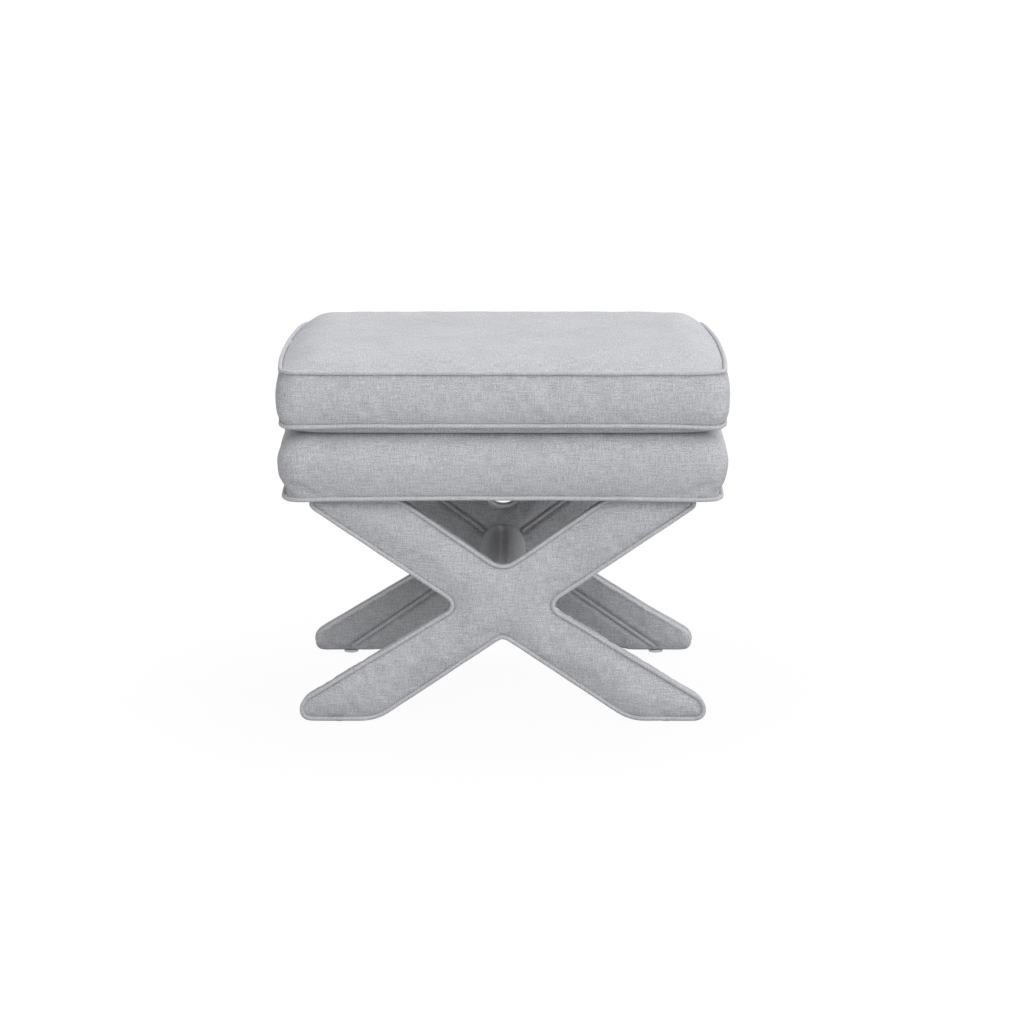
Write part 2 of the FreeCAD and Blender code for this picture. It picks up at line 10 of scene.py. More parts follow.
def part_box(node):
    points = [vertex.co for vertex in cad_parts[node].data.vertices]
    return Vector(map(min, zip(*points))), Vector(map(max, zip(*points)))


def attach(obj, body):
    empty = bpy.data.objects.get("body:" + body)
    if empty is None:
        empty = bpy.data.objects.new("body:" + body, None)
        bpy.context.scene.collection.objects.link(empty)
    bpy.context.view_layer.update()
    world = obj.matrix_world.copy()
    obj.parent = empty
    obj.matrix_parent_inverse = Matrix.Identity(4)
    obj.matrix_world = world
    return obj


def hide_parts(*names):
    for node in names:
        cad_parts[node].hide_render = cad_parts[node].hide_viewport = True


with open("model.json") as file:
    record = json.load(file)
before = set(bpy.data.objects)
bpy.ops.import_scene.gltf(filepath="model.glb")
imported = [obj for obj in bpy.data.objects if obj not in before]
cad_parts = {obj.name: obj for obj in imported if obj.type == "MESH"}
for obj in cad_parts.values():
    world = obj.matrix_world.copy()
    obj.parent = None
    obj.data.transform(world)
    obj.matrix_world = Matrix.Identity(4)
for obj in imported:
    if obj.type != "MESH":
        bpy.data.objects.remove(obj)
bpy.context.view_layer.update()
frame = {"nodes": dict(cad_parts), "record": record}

bl_info = {
    "name": "X Frame Stool",
    "version": (1, 0, 0),
    "blender": (4, 5, 0),
    "location": "View3D > Sidebar > Stool",
    "description": "Upholstered stool with a loose piped cushion on two padded X shaped frames",
    "category": "Add Mesh",
}

# Heights of the seams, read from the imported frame
TOP_SEAM = sum(corner.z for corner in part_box("cushion_top_welt")) / 2
BOTTOM_SEAM = sum(corner.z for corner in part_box("cushion_bottom_welt")) / 2
SEAT_LOW, SEAT_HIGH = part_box("seat_cover")
SEAT_HEIGHT = SEAT_HIGH.z - SEAT_LOW.z
CUSHION_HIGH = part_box("cushion_boxing")[1]

# Squares along the width and the depth of the cushion's and the seat box's cloth
CLOTH_GRID = (98, 80)

# Beyond this share of a cube's half size a point lies on its side
EDGE = 1 - 1e-4

# How far a padded side wanders in and out
UNEVEN = 0.0006


# Sizes and colours that a user would change

def size(name, text, value, **limits):
    return FloatProperty(name=name, description=text, default=value, unit="LENGTH", precision=4, **limits)


def colour(name, text, value):
    return FloatVectorProperty(name=name, description=text, default=value, subtype="COLOR", size=3,
                               min=0, max=1)


class StudioSettings(bpy.types.PropertyGroup):
    camera_place: FloatVectorProperty(name="Camera", description="Where the camera stands", size=3,
                                      default=(0.0114, -4.9083, 1.2229), subtype="TRANSLATION", unit="LENGTH")
    camera_tilt: FloatProperty(name="Tilt", description="Angle of the camera from straight down",
                               default=math.radians(78.535), subtype="ANGLE", unit="ROTATION")
    lens: FloatProperty(name="Lens", description="Focal length on a 36 mm sensor", default=137.1)
    key_power: FloatProperty(name="Key", description="Power of the lamp on the right", default=11)
    fill_power: FloatProperty(name="Fill", description="Power of the lamp in front", default=39)
    top_power: FloatProperty(name="Top", description="Power of the lamp above and behind", default=34)
    sky: FloatProperty(name="Sky", description="Strength of the plain light from all round", default=0.43)
    window: FloatProperty(name="Window", description="Further light from the sky on the right", default=1.0)
    shadow: FloatProperty(name="Shadow", description="Share of the floor's own shading seen", default=0.07)


class CushionSettings(bpy.types.PropertyGroup):
    crown: size("Crown", "Rise of the top panel above its seam", 0.0163)
    end_spread: size("End spread", "How far in from an end the crown is full", 0.054)
    side_spread: size("Front spread", "How far in from the front the crown is full", 0.125)
    back_spread: size("Back spread", "How far in from the back the crown is full", 0.058)
    crown_power: FloatProperty(name="Crown power", description="Steepness at the crown's seam", default=2.6)
    corner: size("Corner", "Radius of the corners in plan", 0.024)
    bow: size("Bow", "Bow of the front and the back", 0.002)
    end_bow: size("End bow", "Bow of the two ends", 0.0185)
    widest: size("Widest place", "Where along the depth the cushion is widest", -0.070)
    seam_inset: size("Seam inset", "How far the sides are drawn in at a seam", 0.0082)
    belly: size("Belly", "Drop of the bottom panel below its seam", 0.0062)
    overhang: size("Overhang", "Swell of the bottom panel over the shoulder of the seat box", 0.0075)
    overhang_place: size("Overhang place", "How far in from the seam that swell is fullest", 0.0155)
    overhang_width: size("Overhang width", "How far that swell spreads", 0.008)
    piping: size("Piping", "Radius of the piping", 0.0027)
    sag: size("Sag", "Drop of the lower seam at the corners", 0.0030)
    droop: size("Droop", "Drop of the upper seam at the back corners", 0.0060)
    pressure: FloatProperty(name="Pressure", description="Pressure of the filling", default=3.0)
    slack: size("Slack", "How much smaller the boxing starts", 0.0008)
    reach: size("Reach", "How far the filling may push the cloth out", 0.0022)


class SeatSettings(bpy.types.PropertyGroup):
    corner: size("Corner", "Radius of the corners in plan", 0.030)
    bow: size("Bow", "Bow of all four sides", 0.0015)
    piping_inset: size("Piping inset", "How far the piping stands in from the sides", 0.0045)
    sag: size("Sag", "Drop of the piping towards the corners", 0.0028)
    pressure: FloatProperty(name="Pressure", description="Pressure of the padding", default=2.5)
    reach: size("Reach", "How far the padding may push the cloth out", 0.0020)


class FrameSettings(bpy.types.PropertyGroup):
    crossing: size("Crossing", "Height at which the arms and legs cross", 0.154)
    face: size("Face", "Distance of the outer face from the middle of the stool", 0.1975)
    depth: size("Depth", "Thickness of the padded frame", 0.0265)
    step: size("Step", "Depth of the channel in which the piping lies", 0.0046)
    puff: size("Puff", "Swell of the outer face beyond its edge", 0.0080)
    inner_puff: size("Inner puff", "Swell of the inner face beside its seams", 0.0034)
    edge: size("Edge", "Radius of the inner edges", 0.0055)
    piping: size("Piping", "Radius of the piping", 0.0027)
    seam_piping: size("Seam piping", "Radius of the piping on the inner face", 0.0027)
    arm_slope: FloatProperty(name="Arm seam", description="Slope of the piping along the arms",
                             default=math.radians(36.5), subtype="ANGLE", unit="ROTATION")
    leg_slope: FloatProperty(name="Leg seam", description="Slope of the piping along the legs",
                             default=math.radians(35.0), subtype="ANGLE", unit="ROTATION")
    ease: size("Ease", "Slack in the cloth along the legs", 0.0016)
    voxel: size("Voxel", "Grain of the cloth mesh on the frames", 0.003)
    groove: size("Groove", "Depth to which the seams of the inner face are drawn in", 0.0024)
    seam_start: size("Seam start", "Where the seams begin, measured from the stretcher's middle", 0.0315)


class ClothSettings(bpy.types.PropertyGroup):
    light: colour("Light thread", "The paler threads", (0.680, 0.687, 0.714))
    dark: colour("Dark thread", "The darker threads", (0.412, 0.418, 0.441))
    thread: size("Thread", "Distance from thread to thread", 0.0009)
    bump: size("Bump", "Relief of the weave", 0.00025)


# Small helpers for meshes

def new_piece(name, mesh):
    piece = bpy.data.objects.new(name, mesh)
    bpy.context.scene.collection.objects.link(piece)
    return piece


def mesh_from(bm, name, smooth=True):
    bmesh.ops.recalc_face_normals(bm, faces=bm.faces)
    for face in bm.faces:
        face.smooth = smooth
    mesh = bpy.data.meshes.new(name)
    bm.to_mesh(mesh)
    bm.free()
    return mesh


def finish_piece(piece, body, slot, material, *nodes):
    """Give a piece its material and the body it rides on, and hide the CAD nodes that it stands for."""
    piece.data.materials.clear()
    piece.data.materials.append(material)
    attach(piece, body)
    if nodes:
        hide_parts(*nodes)
    return piece


def subdivide(piece, levels=1):
    subdivision = piece.modifiers.new("Subdivision", "SUBSURF")
    subdivision.levels = levels
    subdivision.render_levels = levels


def drift(place, grain, seed):
    """Smooth unevenness between -1 and 1, the same in every run."""
    return noise.noise(Vector(place) / grain + Vector((seed * 7.3, seed * 3.1, seed * 5.7)))


def rise(distance, spread, power):
    """Share of its full height that a swell has this far in from its edge."""
    return 1 - (1 - min(max(distance / spread, 0), 1)) ** power


def step_up(value, low, high):
    """Smooth step from 0 to 1."""
    share = min(max((value - low) / (high - low), 0), 1)
    return share * share * (3 - 2 * share)


def between(pairs, value):
    """Straight line reading of a short table of pairs."""
    for (x0, y0), (x1, y1) in zip(pairs, pairs[1:]):
        if value <= x1:
            return y0 + (y1 - y0) * (value - x0) / (x1 - x0)
    return pairs[-1][1]


def puff(piece, sewn, pressure, reach, frames=20):
    """Blow cloth up while its sewn points stay, and keep each point within reach of its start."""
    scene = bpy.context.scene
    group = piece.vertex_groups.new(name="sewn")
    group.add(sewn, 1.0, "REPLACE")
    start = [v.co.copy() for v in piece.data.vertices]
    modifier = piece.modifiers.new("Cloth", "CLOTH")
    cloth = modifier.settings
    cloth.vertex_group_mass = "sewn"
    cloth.quality = 4
    cloth.mass = 0.3
    cloth.tension_stiffness = 15
    cloth.compression_stiffness = 15
    cloth.shear_stiffness = 5
    cloth.bending_stiffness = 0.5
    cloth.shrink_min = -0.012
    cloth.use_pressure = True
    cloth.uniform_pressure_force = pressure
    cloth.effector_weights.gravity = 0
    modifier.point_cache.frame_start = 1
    modifier.point_cache.frame_end = frames
    for number in range(1, frames + 1):
        scene.frame_set(number)
    swollen = piece.evaluated_get(bpy.context.evaluated_depsgraph_get())
    moved = [v.co.copy() for v in swollen.data.vertices]
    piece.modifiers.remove(modifier)
    piece.vertex_groups.remove(group)
    for vertex, old, new in zip(piece.data.vertices, start, moved):
        step = new - old
        if step.length > reach:
            step *= reach / step.length
        vertex.co = old + step
    scene.frame_set(1)


def soften(piece, points, rounds, factor=0.5):
    """Relax some points of a mesh."""
    bm = bmesh.new()
    bm.from_mesh(piece.data)
    bm.verts.ensure_lookup_table()
    chosen = [bm.verts[i] for i in points]
    for _ in range(rounds):
        bmesh.ops.smooth_vert(bm, verts=chosen, factor=factor, use_axis_x=True, use_axis_y=True,
                              use_axis_z=True)
    bm.to_mesh(piece.data)
    bm.free()


def filling(piece, name, depth, body, slot, material, *nodes):
    """Padding just under a cover: the cover's own form, drawn in."""
    bm = bmesh.new()
    bm.from_mesh(piece.data)
    bmesh.ops.smooth_vert(bm, verts=bm.verts, factor=0.5, use_axis_x=True, use_axis_y=True, use_axis_z=True)
    bm.normal_update()
    inwards = [(v, v.normal * depth) for v in bm.verts]
    for vertex, step in inwards:
        vertex.co -= step
    made = finish_piece(new_piece(name, mesh_from(bm, name)), body, slot, material, *nodes)


def piping(name, points, radius, closed=True):
    """Round piping along a line of points."""
    curve = bpy.data.curves.new(name + "_line", "CURVE")
    curve.dimensions = "3D"
    curve.bevel_depth = radius
    curve.bevel_resolution = 3
    curve.use_fill_caps = not closed
    spline = curve.splines.new("NURBS")
    spline.points.add(len(points) - 1)
    for control, point in zip(spline.points, points):
        control.co = (*point, 1)
    spline.order_u = 3
    spline.use_cyclic_u = closed
    spline.use_endpoint_u = not closed
    spline.resolution_u = 2
    line = new_piece(name + "_line", curve)
    mesh = bpy.data.meshes.new_from_object(line.evaluated_get(bpy.context.evaluated_depsgraph_get()))
    bpy.data.objects.remove(line)
    mesh.name = name
    mesh.shade_smooth()
    return new_piece(name, mesh)


def evenly(points, step):
    """Points at an even distance along a closed flat line."""
    count = len(points)
    lengths = [(points[(i + 1) % count] - points[i]).length for i in range(count)]
    total = sum(lengths)
    wanted = int(total / step)
    made = []
    i, passed = 0, 0.0
    for k in range(wanted):
        target = total * k / wanted
        while passed + lengths[i] < target:
            passed += lengths[i]
            i += 1
        share = (target - passed) / lengths[i]
        made.append(points[i].lerp(points[(i + 1) % count], share))
    return made


def moved_in(points, distance):
    """Closed flat line, counter-clockwise, moved towards its inside."""
    count = len(points)
    made = []
    for i in range(count):
        along = (points[(i + 1) % count] - points[i - 1]).normalized()
        made.append(points[i] + Vector((-along.y, along.x)) * distance)
    return made


def counter_clockwise(points):
    area = sum(points[i - 1].x * points[i].y - points[i].x * points[i - 1].y for i in range(len(points)))
    return points if area > 0 else points[::-1]


# The plan of a cushion, and the box of cloth built on it

class Plan:
    """Rounded rectangle with bowed sides, the line that a cushion's sides follow."""

    def __init__(self, half_x, half_y, corner, bow, end_bow, widest):
        self.half_x, self.half_y, self.corner = half_x, half_y, corner
        self.bow, self.end_bow, self.widest = bow, end_bow, widest

    def place(self, u, v, draw_in):
        """Where a point of the unit square lies, its edge drawn in from the plan's."""
        ring = max(abs(u), abs(v))
        if ring < 1e-9:
            return 0.0, 0.0
        half_x, half_y = self.half_x - draw_in, self.half_y - draw_in
        corner = max(self.corner - 0.5 * draw_in, 0.014)
        x, y = u / ring * half_x, v / ring * half_y
        cx, cy = half_x - corner, half_y - corner
        if abs(x) > cx and abs(y) > cy:
            out = Vector((abs(x) - cx, abs(y) - cy)).normalized() * corner
            x, y = math.copysign(cx + out.x, x), math.copysign(cy + out.y, y)
        reach = half_y + abs(self.widest)
        narrow = self.end_bow * ((y - self.widest) / reach) ** 2
        hollow = self.bow * (x / half_x) ** 2
        return x * (1 - narrow / half_x) * ring, y * (1 - hollow / half_y) * ring


def cloth_box(name, cuts, shape):
    """Closed box of even squares, each point set by shape(u, v, w) from its place in a cube."""
    bm = bmesh.new()
    bmesh.ops.create_cube(bm, size=2)
    for axis, number in enumerate(cuts):
        edges = [e for e in bm.edges if abs(e.verts[0].co[axis] - e.verts[1].co[axis]) > 1e-6]
        bmesh.ops.subdivide_edges(bm, edges=edges, cuts=number - 1, use_grid_fill=True)
    places = [tuple(v.co) for v in bm.verts]
    for vertex, place in zip(bm.verts, places):
        vertex.co = shape(*place)
    piece = new_piece(name, mesh_from(bm, name))
    return piece, places


def seam_line(piece, places, height, outwards):
    """The box's edge at one height, in order, moved out sideways to where its piping lies."""
    chosen = [i for i, (u, v, w) in enumerate(places)
              if max(abs(u), abs(v)) > EDGE and abs(w - height) < 1 - EDGE]
    chosen.sort(key=lambda i: math.atan2(places[i][1], places[i][0]))
    points = [piece.data.vertices[i].co for i in chosen]
    flat = moved_in([Vector((p.x, p.y)) for p in points], -outwards)
    return [(f.x, f.y, p.z) for f, p in zip(flat, points)]


def squeeze(value, power=1.25):
    """Crowd the lines of a grid towards its edges."""
    return math.copysign(1 - (1 - abs(value)) ** power, value)


# Cushion

# Where the boxing stands out furthest, from -1 at its lower seam to 1 at its upper seam
FULLEST = -0.4

# Share of the top panel, from its middle outwards, that rests on the foam and isn't blown up
RESTING_TOP = 0.70


def cushion_point(settings, plan, u, v, w):
    """One point of the cushion's cover: crown above, boxing round the side, belly below."""
    u, v = squeeze(u), squeeze(v)
    corner_share = (abs(u) * abs(v)) ** 6
    z = (TOP_SEAM + BOTTOM_SEAM) / 2 + w * (TOP_SEAM - BOTTOM_SEAM) / 2
    if w < 0:
        z += w * settings.sag * corner_share
    elif v > 0:
        z -= w * settings.droop * corner_share
    level = (w - FULLEST) / (1 - FULLEST if w > FULLEST else 1 + FULLEST)
    draw_in = settings.seam_inset * abs(level) ** 2.4 + settings.slack * (1 - abs(w) ** 3)
    draw_in += UNEVEN * drift((u, v, w), 0.5, 1)
    x, y = plan.place(u, v, draw_in)
    end_gap = plan.half_x * (1 - abs(u))
    side_gap = plan.half_y * (1 - abs(v))
    if w > EDGE:
        end_spread = settings.end_spread * (1 - 0.4 * step_up(v, 0.1, 0.9))
        side_spread = settings.side_spread if v < 0 else settings.back_spread
        lift = rise(end_gap, end_spread, settings.crown_power)
        lift *= rise(side_gap, side_spread, settings.crown_power)
        z += settings.crown * lift * (1 + 0.012 * drift((x, y, 0), 0.12, 2))
    elif w < -EDGE:
        gap = min(end_gap, side_gap)
        away = (gap - settings.overhang_place) / settings.overhang_width
        overhang = settings.overhang * math.exp(-away ** 2) * rise(gap, 0.004, 1)
        z -= settings.belly * rise(gap, 0.03, 2) + overhang * (1 - abs(u * v) ** 8)
    if max(abs(u), abs(v)) > EDGE:
        z += abs(w) * (0.0007 + 0.0006 * abs(u) ** 8) * drift((x, y, w), 0.045, 3)
    return x, y, z


def make_cushion(settings, materials):
    plan = Plan(CUSHION_HIGH.x, CUSHION_HIGH.y, settings.corner, settings.bow, settings.end_bow,
                settings.widest)
    cover, places = cloth_box("cushion_cover", (*CLOTH_GRID, 14),
                              lambda u, v, w: cushion_point(settings, plan, u, v, w))
    sewn = [i for i, (u, v, w) in enumerate(places) if max(abs(u), abs(v)) > EDGE and abs(w) > EDGE]
    resting = [i for i, (u, v, w) in enumerate(places)
               if w < -EDGE or (w > EDGE and max(abs(u), abs(v)) < RESTING_TOP)]
    puff(cover, sorted(set(sewn + resting)), settings.pressure, settings.reach)
    inner = [i for i, (u, v, w) in enumerate(places) if w > EDGE and max(abs(u), abs(v)) < 0.94]
    soften(cover, inner, 12)
    press_in_zip(cover)
    finish_piece(cover, "cushion", "linen", materials["linen"],
                 "cushion_top_panel", "cushion_boxing", "cushion_bottom_panel")
    filling(cover, "cushion_filling", 0.003, "cushion", "wadding", materials["wadding"], "cushion_wadding")
    for name, height in (("cushion_top_piping", 1), ("cushion_bottom_piping", -1)):
        line = seam_line(cover, places, height, settings.piping + 0.0002)
        made = piping(name, line, settings.piping)
        finish_piece(made, "cushion", "piping", materials["piping"], name.replace("piping", "welt"))
    subdivide(cover)


def press_in_zip(cover):
    """Fold of the boxing in which the zip lies."""
    low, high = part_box("zip_tape")
    floor_y = low.y - 0.0008
    for vertex in cover.data.vertices:
        point = vertex.co
        beside = low.x - 0.002 < point.x < high.x + 0.002
        level = low.z - 0.001 < point.z < high.z + 0.001
        if beside and level:
            point.y = min(point.y, floor_y)


# Seat box

# How far in the side lies at each height above the lower edge
SEAT_PROFILE = [(0.0, 0.0105), (0.006, 0.0102), (0.010, 0.0090), (0.018, 0.0058), (0.030, 0.0027),
                (0.041, 0.0014), (0.049, 0.0012), (0.058, 0.0030), (0.066, 0.0070), (0.074, 0.0130),
                (0.0805, 0.0220), (0.0845, 0.0310), (0.0873, 0.0420)]
SEAM_INSET = SEAT_PROFILE[0][1]


def seat_point(settings, plan, u, v, w):
    """One point of the seat box's cover, its height from the lowest edge read off the profile."""
    height = (w + 1) / 2 * SEAT_HEIGHT
    draw_in = between(SEAT_PROFILE, height) + UNEVEN * drift((u, v, w), 0.4, 4)
    x, y = plan.place(u, v, draw_in)
    corner_share = max(abs(u), abs(v)) ** 8 * (abs(u * v)) ** 3
    return x, y, SEAT_LOW.z + height - settings.sag * corner_share * (1 - height / SEAT_HEIGHT) ** 2


def make_seat(settings, cushion, materials):
    plan = Plan(SEAT_HIGH.x, SEAT_HIGH.y, settings.corner, settings.bow, settings.bow, 0.0)
    cover, places = cloth_box("seat_box_cover", (*CLOTH_GRID, 20),
                              lambda u, v, w: seat_point(settings, plan, u, v, w))
    sewn = [i for i, (u, v, w) in enumerate(places) if w < -0.82 or (w > EDGE and max(abs(u), abs(v)) < 0.97)]
    puff(cover, sewn, settings.pressure, settings.reach)
    finish_piece(cover, "base", "linen", materials["linen"], "seat_cover")
    filling(cover, "seat_padding", 0.003, "base", "foam", materials["foam"], "seat_foam")
    line = seam_line(cover, places, -1, SEAM_INSET - settings.piping_inset - cushion.piping)
    line = [(x, y, z + cushion.piping + 0.0004 * drift((x, y, z), 0.05, 5)) for x, y, z in line]
    made = piping("seat_box_piping", line, cushion.piping)
    finish_piece(made, "base", "piping", materials["piping"], "seat_welt")
    subdivide(cover)


# X frames

# Heights above which the faces, and then the whole cover, are held under the seat box
HELD_FACE_Z = 0.279
HELD_Z = 0.2815

# Height below which the cover is held under a foot
HELD_FOOT_Z = 0.0045


def cut_outline(node, y):
    """Outer line of a CAD node where a plane across Y cuts it, as flat points."""
    bm = bmesh.new()
    bm.from_mesh(frame["nodes"][node].data)
    bmesh.ops.remove_doubles(bm, verts=bm.verts, dist=1e-6)
    bmesh.ops.bisect_plane(bm, geom=bm.verts[:] + bm.edges[:] + bm.faces[:], dist=1e-7, plane_co=(0, y, 0),
                           plane_no=(0, 1, 0), clear_inner=True, clear_outer=True)
    bmesh.ops.remove_doubles(bm, verts=bm.verts, dist=1e-5)
    outermost = min(bm.verts, key=lambda v: v.co.x)
    line, before, here = [outermost], None, outermost
    while True:
        ahead = [e.other_vert(here) for e in here.link_edges if e.other_vert(here) is not before]
        before, here = here, ahead[0]
        if here is outermost:
            break
        line.append(here)
    points = [Vector((v.co.x, v.co.z)) for v in line]
    bm.free()
    return counter_clockwise(points)


def eased_outline(outline, side, settings):
    """The back legs lie a little lower than drawn, the upper edges of the front legs a little higher."""
    for point in outline:
        middle = settings.crossing - 0.003 - abs(point.x) * math.tan(settings.leg_slope)
        upper = point.y > middle
        if side > 0:
            share = step_up(point.y, 0.008, 0.075) * (1 - step_up(point.y, 0.09, 0.14))
            point.y -= settings.ease * share * (1.5 if upper else 1)
        elif upper:
            point.y += settings.ease * step_up(point.y, 0.012, 0.04) * (1 - step_up(point.y, 0.138, 0.152))
    return outline


def near_finder(points):
    tree = kdtree.KDTree(len(points))
    for i, point in enumerate(points):
        tree.insert((point.x, point.y, 0), i)
    tree.balance()
    return lambda x, z: tree.find((x, z, 0))[2]


def seam_runs(settings):
    """The four straight seams of the inner face, each from near the stretcher to its arm's or leg's end."""
    arm_end_z = SEAT_LOW.z - 0.0085
    leg_end_z = 0.0095
    runs = []
    for way in (-1, 1):
        for slope, drop, far_z in ((settings.leg_slope, 0.003, leg_end_z),
                                   (settings.arm_slope, 0.005, arm_end_z)):
            start = Vector((0, settings.crossing - drop))
            far = Vector((way * abs((far_z - start.y) / math.tan(slope)), far_z))
            along = (far - start).normalized()
            runs.append((start + along * settings.seam_start, far))
    return runs


def frame_blank(name, outline, settings, side):
    """Plain slab of the X, its inner edges rounded, made into an even mesh of small squares."""
    step_y = side * (settings.face - settings.step)
    inner_y = side * (settings.face - settings.depth)
    bm = bmesh.new()
    verts = [bm.verts.new((p.x, inner_y, p.y)) for p in evenly(outline, 0.0025)]
    face = bm.faces.new(verts)
    grown = bmesh.ops.extrude_face_region(bm, geom=[face])
    for item in grown["geom"]:
        if isinstance(item, bmesh.types.BMVert):
            item.co.y = step_y
    inner_rim = [e for e in bm.edges if all(abs(v.co.y - inner_y) < 1e-6 for v in e.verts)]
    bmesh.ops.bevel(bm, geom=inner_rim, offset=settings.edge, offset_type="OFFSET", affect="EDGES",
                    segments=4, profile=0.5, material=-1)
    slab = new_piece(name + "_slab", mesh_from(bm, name))
    remesh = slab.modifiers.new("Remesh", "REMESH")
    remesh.mode = "VOXEL"
    remesh.voxel_size = settings.voxel
    remesh.adaptivity = 0
    mesh = bpy.data.meshes.new_from_object(slab.evaluated_get(bpy.context.evaluated_depsgraph_get()))
    bpy.data.objects.remove(slab)
    mesh.name = name
    mesh.shade_smooth()
    return new_piece(name, mesh)


def make_frame(name, side, settings, materials):
    """One X: its puffed cover, the piping round its face and the piping on its inner face."""
    within_cover = side * 0.188
    outline = eased_outline(cut_outline(name + "_x_cover", within_cover), side, settings)
    line = evenly(outline, 0.0015)
    to_edge = near_finder(line)
    runs = seam_runs(settings)
    to_seam = near_finder([a.lerp(b, k / 300) for a, b in runs for k in range(301)])
    cover = frame_blank(name + "_frame_cover", outline, settings, side)
    step_y = settings.face - settings.step
    inner_y = settings.face - settings.depth
    channel = settings.piping + 0.0008
    glide_radius = 0.0095
    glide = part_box("foot_glides")[1] - Vector((glide_radius, glide_radius, 0))
    gather_top, gather_width, gather_lift = 0.016, 0.02, 0.0022
    sewn = []
    for vertex in cover.data.vertices:
        point = vertex.co
        depth = side * point.y
        edge_gap = to_edge(point.x, point.z)
        if depth > step_y - 0.0009:
            swell = settings.puff * rise(edge_gap - 0.0005, 0.034, 2.6)
            point.y += side * swell
            if edge_gap < channel or point.z > HELD_FACE_Z:
                sewn.append(vertex.index)
        elif depth < inner_y + 0.0012:
            seam_gap = to_seam(point.x, point.z)
            swell = settings.inner_puff * rise(min(edge_gap, 0.02) - 0.004, 0.016, 2)
            swell *= rise(seam_gap - 0.0026, 0.009, 2.4)
            if seam_gap < 0.0042:
                swell -= settings.groove
                sewn.append(vertex.index)
            point.y -= side * swell
        if point.z > HELD_Z or point.z < HELD_FOOT_Z:
            sewn.append(vertex.index)
        if point.z < gather_top:
            away = math.hypot(abs(point.x) - glide.x, side * point.y - glide.y)
            gather = 1 - min(away / gather_width, 1)
            point.z += gather_lift * gather ** 2 * (1 - point.z / gather_top)
    puff(cover, sorted(set(sewn)), 1.5, 0.0015)
    finish_piece(cover, "base", "linen", materials["linen"], name + "_x_cover")
    filling(cover, name + "_frame_padding", 0.0024, "base", "wadding", materials["wadding"],
            name + "_x_padding")
    subdivide(cover)
    make_frame_piping(name, side, settings, materials, line, runs)


def make_frame_piping(name, side, settings, materials, line, runs):
    high = SEAT_LOW.z - 0.0008 - settings.piping
    middle_y = side * (settings.face - settings.step + settings.piping)
    points = []
    for p in moved_in(evenly(line, 0.007), 0.0007):
        wave = 0.00035 * drift((p.x, side, p.y), 0.03, 6)
        points.append((p.x, middle_y + wave, min(p.y + wave, high)))
    edge = piping(name + "_frame_piping", points, settings.piping)
    finish_piece(edge, "base", "piping", materials["piping"], name + "_x_edge_welt")
    seam_y = side * (settings.face - settings.depth - 0.0002)
    steps = 24
    bm = bmesh.new()
    for a, b in runs:
        points = []
        for k in range(steps + 1):
            p = a.lerp(b, k / steps)
            points.append((p.x, seam_y + 0.0003 * drift((p.x, side, p.y), 0.03, 7), p.y))
        part = piping(name + "_seam", points, settings.seam_piping, closed=False)
        bm.from_mesh(part.data)
        bpy.data.objects.remove(part)
    seams = new_piece(name + "_seam_piping", mesh_from(bm, name + "_seam_piping"))
    finish_piece(seams, "base", "piping", materials["piping"], name + "_x_seam_welts")


# Stretcher

def make_stretcher(materials):
    low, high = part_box("stretcher_cover")
    middle = (low + high) / 2
    puffed = 0.002
    seam = 0.0020
    radius = (high.x - low.x) / 2 - puffed
    length = high.y - low.y
    bm = bmesh.new()
    bmesh.ops.create_cone(bm, segments=64, radius1=radius, radius2=radius, depth=length, cap_ends=True)
    lengthwise = [e for e in bm.edges if abs(e.verts[0].co.z - e.verts[1].co.z) > 1e-6]
    bmesh.ops.subdivide_edges(bm, edges=lengthwise, cuts=59, use_grid_fill=True)
    for vertex in bm.verts:
        along = vertex.co.z / length + 0.5
        angle = math.atan2(vertex.co.y, vertex.co.x)
        end = min(along, 1 - along) * length
        swell = puffed * rise(end, 0.03, 2.2) - 0.0016 * (1 - rise(end, 0.006, 2))
        swell += UNEVEN * drift((math.cos(angle), math.sin(angle), along * 6), 0.8, 8)
        swell -= seam * math.exp(-((angle - math.pi / 2) / 0.13) ** 2)
        grow = 1 + swell / radius
        vertex.co.x *= grow
        vertex.co.y *= grow
    bmesh.ops.rotate(bm, verts=bm.verts, cent=(0, 0, 0), matrix=Matrix.Rotation(math.pi / 2, 3, "X"))
    bmesh.ops.translate(bm, verts=bm.verts, vec=middle)
    cover = new_piece("stretcher_padded_cover", mesh_from(bm, "stretcher_padded_cover"))
    finish_piece(cover, "base", "linen", materials["stretcher"], "stretcher_cover")
    filling(cover, "stretcher_filling", 0.0025, "base", "wadding", materials["wadding"], "stretcher_padding")
    subdivide(cover)


# Dust cover, zip, feet and what is hidden

def make_dust_cover(settings, materials):
    """Sheet stapled all round under the seat box, hanging a little between the two frames."""
    low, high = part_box("dust_cover")
    inset = 0.0123
    between_frames = 0.168
    plan = Plan(SEAT_HIGH.x - inset, SEAT_HIGH.y - inset, settings.corner - inset, settings.bow,
                settings.bow, 0.0)
    bm = bmesh.new()
    bmesh.ops.create_grid(bm, x_segments=80, y_segments=64, size=1)
    for vertex in bm.verts:
        u, v = vertex.co.x, vertex.co.y
        x, y = plan.place(u, v, 0)
        hang = 0.0035 * rise(between_frames - abs(y), 0.12, 2) * rise(high.x - abs(x), 0.15, 2)
        vertex.co = (x, y, high.z - 0.0001 - hang)
    sheet = new_piece("dust_sheet", mesh_from(bm, "dust_sheet"))
    thicken = sheet.modifiers.new("Thickness", "SOLIDIFY")
    thicken.thickness = 0.0004
    thicken.offset = 0
    finish_piece(sheet, "base", "dust_cloth", materials["dust_cloth"], "dust_cover")


